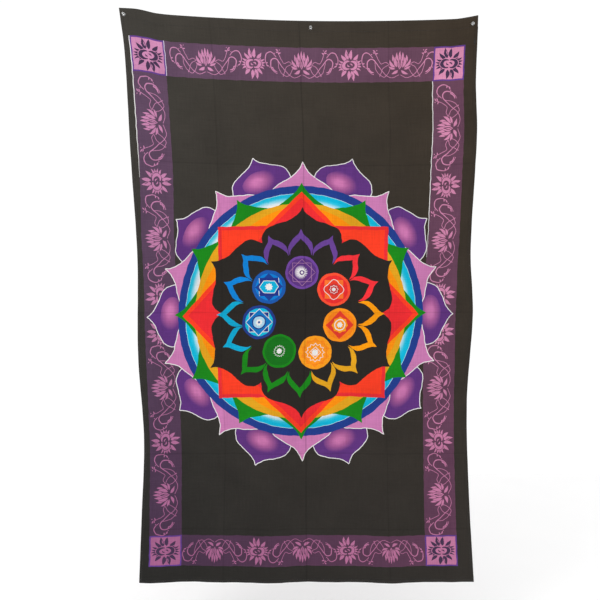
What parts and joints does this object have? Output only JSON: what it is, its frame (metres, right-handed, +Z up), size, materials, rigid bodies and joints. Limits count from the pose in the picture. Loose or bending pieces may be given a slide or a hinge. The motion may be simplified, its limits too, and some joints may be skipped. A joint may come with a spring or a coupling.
{
  "type": "tapestry wall hanging",
  "caption": "Tall hanging of thin dyed cotton with turned, stitched hems, held to a wall by push pins through its top hem.",
  "frame": {"origin": "on the back face of the top hem, midway across the hanging, where the hem lies flat on the wall, level with the centre pin", "axes": "+Z up, along the length of the cloth; +Y into the wall; +X to the right as seen from the front"},
  "size_m": [1.1065, 0.027, 1.8],
  "materials": {
    "dyed_cotton": "matt plain-weave cotton, wax-resist dyed in many colours on near-black",
    "hem_cotton": "matt plain-weave cotton, near-black, pressed double fold",
    "sewing_thread": "twisted cotton sewing thread, slight sheen",
    "clear_plastic": "clear moulded plastic, glossy",
    "steel": "bright drawn steel wire"
  },
  "bodies": {
    "top_edge": {"top_hem": "hem_cotton", "top_hem_top_thread": "sewing_thread", "top_hem_bobbin_thread": "sewing_thread"},
    "panel": {"cloth_panel": "dyed_cotton", "bottom_hem": "hem_cotton", "bottom_hem_top_thread": "sewing_thread", "bottom_hem_bobbin_thread": "sewing_thread", "left_hem": "hem_cotton", "left_hem_top_thread": "sewing_thread", "left_hem_bobbin_thread": "sewing_thread", "right_hem": "hem_cotton", "right_hem_top_thread": "sewing_thread", "right_hem_bobbin_thread": "sewing_thread"},
    "left_pin": {"left_pin_head": "clear_plastic", "left_pin_needle": "steel"},
    "centre_pin": {"centre_pin_head": "clear_plastic", "centre_pin_needle": "steel"},
    "right_pin": {"right_pin_head": "clear_plastic", "right_pin_needle": "steel"}
  },
  "joints": [
    {"name": "panel_swing", "type": "hinge", "parent": "top_edge", "child": "panel", "pos_m": [0, -0.0022, -0.004], "axis": [-1, 0, 0], "range_deg": [0, 80]},
    {"name": "left_pin_pull", "type": "slide", "parent": "top_edge", "child": "left_pin", "axis": [0, -1, 0], "range_m": [0, 0.013]},
    {"name": "centre_pin_pull", "type": "slide", "parent": "top_edge", "child": "centre_pin", "axis": [0, -1, 0], "range_m": [0, 0.013]},
    {"name": "right_pin_pull", "type": "slide", "parent": "top_edge", "child": "right_pin", "axis": [0, -1, 0], "range_m": [0, 0.013]}
  ]
}
